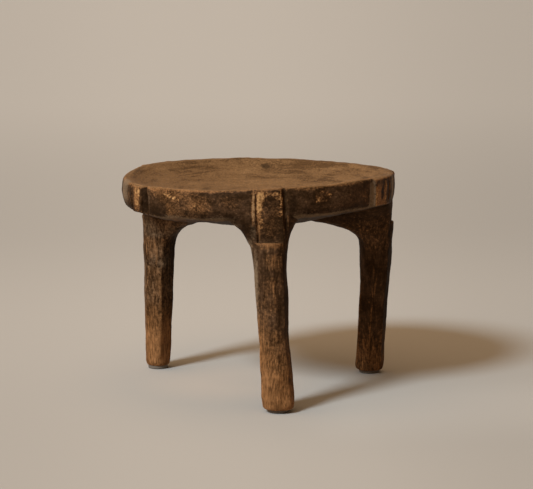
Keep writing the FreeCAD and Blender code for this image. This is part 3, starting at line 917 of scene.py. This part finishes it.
def wood_material(wood):
    """Carved hardwood: a dark patina, thin where it is handled, over the grain."""
    material, tree = new_material("carved_wood")
    place = object_place(tree)
    patina, rubbed_tone = np.array(wood.patina), np.array(wood.rubbed)
    # The grain runs up the legs; round the rim the tools' strokes run level.
    leg = rise_of(tree, apart_of(tree, place)["Z"], 0.250, 0.230)
    fibres, streaks = (
        between(tree, leg, noise_on(tree, place, *level), noise_on(tree, place, *upright))
        for level, upright in ((FIBRES_ROUND, FIBRES_UP), (STREAKS_ROUND, STREAKS_UP))
    )
    mottling = noise_on(tree, place, *MOTTLING)
    blotches = noise_on(tree, place, *BLOTCHES)
    names = ("ridge", "dish", "dust", "bare", "rubbed", "grime", "lip")
    ridge, dish, dust, bare, rubbed, grime, lip = (kept(tree, name) for name in names)

    # The patina thins out in blotches and along the fibres.
    thin = swayed(tree, 0.45, (blotches, 1.2), (streaks, 0.9), (mottling, 0.7))
    colour = coated(tree, rise_of(tree, thin, 0.15, 0.90), patina, wood.brown)
    # Grime and painted shade darken the skin.
    colour = coated(tree, product_of(tree, grime, 0.5), colour, patina * GRIME_AND_SHADE_DARK)

    # Rubbed wood shows through a broken skin.
    wear = swayed(tree, rubbed, (mottling, 0.8), (streaks, 0.6), (fibres, 0.6))
    warmth = rise_of(tree, swayed(tree, 0.5, (fibres, 1.6), (blotches, 1.0)), 0.2, 0.8)
    warm = coated(tree, warmth, rubbed_tone * RUBBED_DARK, rubbed_tone)
    colour = coated(tree, rise_of(tree, wear, 0.14, 0.92, 0.0, 0.96), colour, warm)

    # The dish is polished.
    hollow = dish_colour(tree, place, wood, blotches, fibres, mottling)
    colour = coated(tree, dish, colour, hollow)

    # Edges are rubbed, and chips are bare in their middles.
    edge = swayed(tree, rise_of(tree, ridge, 0.10, 0.60), (mottling, 1.3), (blotches, 1.2))
    colour = coated(tree, rise_of(tree, edge, 0.50, 1.10, 0.0, 0.45), colour, rubbed_tone)
    chip = swayed(tree, bare, (mottling, 1.9), (fibres, 1.0))
    chipped = coated(tree, rise_of(tree, chip, 0.45, 1.05), warm, wood.bare)
    colour = coated(tree, rise_of(tree, chip, 0.32, 0.60), colour, chipped)

    # Grooves are dark, but for a greyish film of dust, whose colour is also a painted sheen on the
    # rim's rolled lower edge and a painted highlight at some dust marks.
    hollows = rise_of(tree, ridge, -0.20, -0.80, 0.0, 0.45)
    colour = coated(tree, hollows, colour, patina * GROOVE_DARK)
    film_and_sheen_share = sum_of(tree, "MAXIMUM", dust, lip)
    film_and_sheen = swayed(tree, film_and_sheen_share, (mottling, 0.8), (fibres, 0.6), (blotches, 0.7))
    colour = coated(tree, rise_of(tree, film_and_sheen, 0.10, 0.90, 0.0, 0.80), colour, wood.dust)

    # The grain, grime and painted shade lighten and darken all of it.
    shade = product_of(
        tree,
        rise_of(tree, fibres, 0.30, 0.70, 0.78, 1.20),
        rise_of(tree, mottling, 0.30, 0.70, 0.86, 1.12),
        rise_of(tree, grime, 0.0, 1.0, 1.0, 0.5),
    )
    dull = product_of(tree, rise_of(tree, chip, 0.34, 0.60), 0.8)
    rough = sum_of(tree, "MAXIMUM", rise_of(tree, mottling, 0.3, 0.7, 0.48, 0.66), dull)
    relief = swayed(tree, 0.0, (fibres, 0.6), (mottling, 0.8))
    surface = {
        "Base Color": shaded(tree, colour, shade),
        "Roughness": rough,
        "Normal": bump_of(tree, relief, 0.35, 0.0007),
        "Specular IOR Level": 0.03,
    }
    return surfaced(material, surface)


def glide_material(settings):
    """Pale greyish rubber, painted dark as a contact shadow where it meets the floor."""
    material, tree = new_material("glide_rubber")
    place = object_place(tree)
    speckle = noise_on(tree, place, 900.0, 4.0, 0.6)
    rubber = np.array(settings.rubber)
    colour = coated(tree, rise_of(tree, speckle, 0.3, 0.7, 0.0, 0.5), rubber, rubber * 0.6)
    # A painted contact shadow along the bottom.
    contact_shadow = rise_of(tree, apart_of(tree, place)["Z"], 0.0016, 0.0004, 0.0, 0.75)
    surface = {
        "Base Color": coated(tree, contact_shadow, colour, tone(40, 30, 22)),
        "Roughness": 0.8,
        "Normal": bump_of(tree, speckle, 0.3, 0.0003),
    }
    return surfaced(material, surface)


def nail_material(settings):
    """Dull steel with a little rust."""
    material, tree = new_material("nail_steel")
    rust = noise_on(tree, object_place(tree), 700.0, 6.0, 0.65)
    share = rise_of(tree, rust, 0.50, 0.68)
    surface = {
        "Base Color": coated(tree, share, settings.steel, tone(98, 58, 36)),
        "Metallic": sum_of(tree, "SUBTRACT", 1.0, share),
        "Roughness": rise_of(tree, rust, 0.3, 0.7, 0.35, 0.8),
    }
    return surfaced(material, surface)


def floor_material(studio):
    """The seamless floor, whose colour falls off as the photograph's light does."""
    material, tree = new_material("studio_floor")
    place = object_place(tree)
    right, back, _ = apart_of(tree, place)
    # The light's pool widens away from the camera and is weaker on both of its sides.
    from_camera = sum_of(tree, "MAXIMUM", sum_of(tree, "ADD", back, 3.10), 2.2)
    across = sum_of(tree, "DIVIDE", sum_of(tree, "ADD", right, 0.236), from_camera)
    shares = [
        rise_of(tree, across, 0.06, 0.22, 1.0, 0.85),
        rise_of(tree, across, 0.03, -0.06, 1.0, 0.945),
    ]
    # It is weaker towards the camera and behind the stool, and the backdrop is paler again.
    for low, high, end in ((0.30, -0.40, 0.965), (0.45, 1.70, 0.885), (1.90, 5.00, 1.13)):
        shares.append(rise_of(tree, back, low, high, 1.0, end))
    # To the right of the stool's front more light is painted on the floor.
    near = product_of(
        tree,
        rise_of(tree, back, 0.06, -0.14, 0.0, 0.13),
        rise_of(tree, right, 0.00, 0.12),
        rise_of(tree, back, -0.20, -0.42, 1.0, 0.2),
    )
    shares.append(sum_of(tree, "ADD", near, 1.0))
    colour = shaded(tree, studio.floor, product_of(tree, *shares))
    # The wood throws warm light back under the seat.
    _, from_middle = distance_from(tree, place, WARM_MIDDLE)
    warm = rise_of(tree, from_middle, 0.04, 0.18, 1.0, 0.0)
    colour = coated(tree, warm, colour, WARM_TINT, "MULTIPLY")
    surface = {"Base Color": colour, "Roughness": 1.0, "Specular IOR Level": 0.0}
    return surfaced(material, surface)


def set_finish(piece, material):
    """Gives a piece its one material."""
    piece.data.materials.clear()
    piece.data.materials.append(material)


def set_finishes(kind, material):
    """Gives the pieces of one kind, one at each leg, the same material."""
    for leg in LEGS:
        set_finish(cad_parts[kind + leg], material)


class STOOL_OT_carve_body(Operator):
    """Carve the body out of the frame's plain one and give it its patina"""

    bl_idname = "stool.carve_body"
    bl_label = "Carve Body"

    def execute(self, context):
        scene = context.scene
        settings = scene.stool_carving
        piece = bpy.data.objects.new("carved_body", merged_copy(BODY))
        scene.collection.objects.link(piece)
        remesh = piece.modifiers.new("Even Mesh", "REMESH")
        remesh.mode = "VOXEL"
        remesh.voxel_size = settings.mesh_grain
        mesh = after_modifiers(piece)
        if len(mesh.vertices) < FEWEST_POINTS:
            raise RuntimeError("the body's even mesh came out empty or far too coarse")
        fine = np.flatnonzero(carve(mesh, settings)).tolist()
        piece.vertex_groups.new(name="fine").add(fine, 1.0, "REPLACE")
        thin = piece.modifiers.new("Thinning", "DECIMATE")
        triangles = sum(len(face.vertices) - 2 for face in mesh.polygons)
        thin.ratio = min(1.0, settings.most_triangles / triangles)
        thin.vertex_group = "fine"
        thin.invert_vertex_group = True
        mesh = after_modifiers(piece)
        mesh.shade_smooth()
        mesh.name = "carved_body"
        set_finish(piece, wood_material(scene.stool_wood))
        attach(piece, "root")
        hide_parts(BODY)
        print("body", len(mesh.vertices), "points", len(mesh.polygons), "faces, from", triangles)
        return {"FINISHED"}


class STOOL_OT_finish_glides(Operator):
    """Give the three foot glides their rubber"""

    bl_idname = "stool.finish_glides"
    bl_label = "Finish Glides"

    def execute(self, context):
        set_finishes("foot_glide_", glide_material(context.scene.stool_glides))
        return {"FINISHED"}


class STOOL_OT_finish_nails(Operator):
    """Give the glides' nails their steel"""

    bl_idname = "stool.finish_nails"
    bl_label = "Finish Nails"

    def execute(self, context):
        set_finishes("glide_nail_", nail_material(context.scene.stool_nails))
        return {"FINISHED"}


def lay_floor(scene, studio):
    """A floor that reaches past the frame of the picture."""
    work = bmesh.new()
    bmesh.ops.create_grid(work, x_segments=1, y_segments=1, size=FLOOR_REACH)
    mesh = bpy.data.meshes.new("studio_floor")
    work.to_mesh(mesh)
    work.free()
    floor = bpy.data.objects.new("studio_floor", mesh)
    scene.collection.objects.link(floor)
    set_finish(floor, floor_material(studio))


def hang_light(scene, studio, name, colour):
    """A distant light, whose settings' names begin with its own."""
    words = ("strength", "softness", "height", "azimuth")
    strength, softness, height, azimuth = (getattr(studio, f"{name}_{word}") for word in words)
    lamp = bpy.data.lights.new(name + "_light", "SUN")
    lamp.color = colour
    lamp.energy = strength
    lamp.angle = softness
    light = bpy.data.objects.new(name + "_light", lamp)
    light.rotation_euler = (math.pi / 2.0 - height, 0.0, azimuth)
    scene.collection.objects.link(light)


def set_fill_light(scene, studio):
    """A warm light from all round, behind which the backdrop's own colour shows."""
    world = bpy.data.worlds.new("studio_world")
    world.use_nodes = True
    tree = world.node_tree
    tree.nodes.clear()
    lit, shown = (
        add_node(tree, "Background", {"Color": (*colour, 1.0), "Strength": strength}).outputs[0]
        for colour, strength in ((studio.fill, studio.fill_strength), (studio.floor, 1.0))
    )
    rays = add_node(tree, "LightPath").outputs
    seen = sum_of(tree, "MAXIMUM", rays["Is Camera Ray"], rays["Is Glossy Ray"])
    seen = sum_of(tree, "MAXIMUM", seen, rays["Is Transmission Ray"])
    mixed = add_node(tree, "MixShader", {0: seen, 1: lit, 2: shown})
    add_node(tree, "OutputWorld", {"Surface": mixed.outputs[0]})
    scene.world = world


def place_camera(scene, studio):
    """The camera where the photograph was taken from."""
    data = bpy.data.cameras.new("photo_camera")
    data.sensor_fit = "HORIZONTAL"
    data.sensor_width = SENSOR_WIDTH
    data.lens = studio.focal_pixels * data.sensor_width / PHOTO_WIDTH
    data.clip_end = 200.0
    camera = bpy.data.objects.new("photo_camera", data)
    azimuth = studio.camera_azimuth
    camera.location = (
        AXIS_RIGHT + studio.camera_distance * math.sin(azimuth),
        AXIS_BACK - studio.camera_distance * math.cos(azimuth),
        studio.camera_height,
    )
    heading = azimuth - studio.camera_turn
    camera.rotation_euler = (math.pi / 2.0 - studio.camera_pitch, 0.0, heading)
    scene.collection.objects.link(camera)
    scene.camera = camera


class STOOL_OT_set_stage(Operator):
    """Lay the floor, hang the lights and place the camera"""

    bl_idname = "stool.set_stage"
    bl_label = "Set Stage"

    def execute(self, context):
        scene = context.scene
        studio = scene.stool_studio
        lay_floor(scene, studio)
        hang_light(scene, studio, "key", studio.key)
        hang_light(scene, studio, "side", studio.fill)
        set_fill_light(scene, studio)
        place_camera(scene, studio)
        scene.view_settings.view_transform = "Standard"
        return {"FINISHED"}


class STOOL_PT_workbench(Panel):
    """Lists the stool's steps and their settings"""

    bl_idname = "STOOL_PT_workbench"
    bl_label = "Carved Stool"
    bl_space_type = "VIEW_3D"
    bl_region_type = "UI"
    bl_category = "Stool"

    def draw(self, context):
        for operator, groups in STEPS:
            box = self.layout.box()
            box.operator(operator.bl_idname)
            for group in groups:
                settings = getattr(context.scene, group)
                for name in SETTINGS[group].__annotations__:
                    box.prop(settings, name)


SETTINGS = {
    "stool_carving": CarvingSettings,
    "stool_wood": WoodSettings,
    "stool_glides": GlideSettings,
    "stool_nails": NailSettings,
    "stool_studio": StudioSettings,
}
# Each step and the settings that it reads.
STEPS = (
    (STOOL_OT_carve_body, ("stool_carving", "stool_wood")),
    (STOOL_OT_finish_glides, ("stool_glides",)),
    (STOOL_OT_finish_nails, ("stool_nails",)),
    (STOOL_OT_set_stage, ("stool_studio",)),
)


def register():
    """Makes the settings, the steps and their panel known to Blender."""
    for name, group in SETTINGS.items():
        bpy.utils.register_class(group)
        setattr(bpy.types.Scene, name, PointerProperty(type=group))
    for operator, _ in STEPS:
        bpy.utils.register_class(operator)
    bpy.utils.register_class(STOOL_PT_workbench)


def unregister():
    """Takes them away again, the last first."""
    bpy.utils.unregister_class(STOOL_PT_workbench)
    for operator, _ in reversed(STEPS):
        bpy.utils.unregister_class(operator)
    for name, group in reversed(SETTINGS.items()):
        delattr(bpy.types.Scene, name)
        bpy.utils.unregister_class(group)


def main():
    """Makes the stool and its stage, and writes how large it is."""
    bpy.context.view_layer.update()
    register()
    bpy.ops.stool.carve_body()
    bpy.ops.stool.finish_glides()
    bpy.ops.stool.finish_nails()
    bpy.ops.stool.set_stage()


if __name__ == "__main__":
    main()
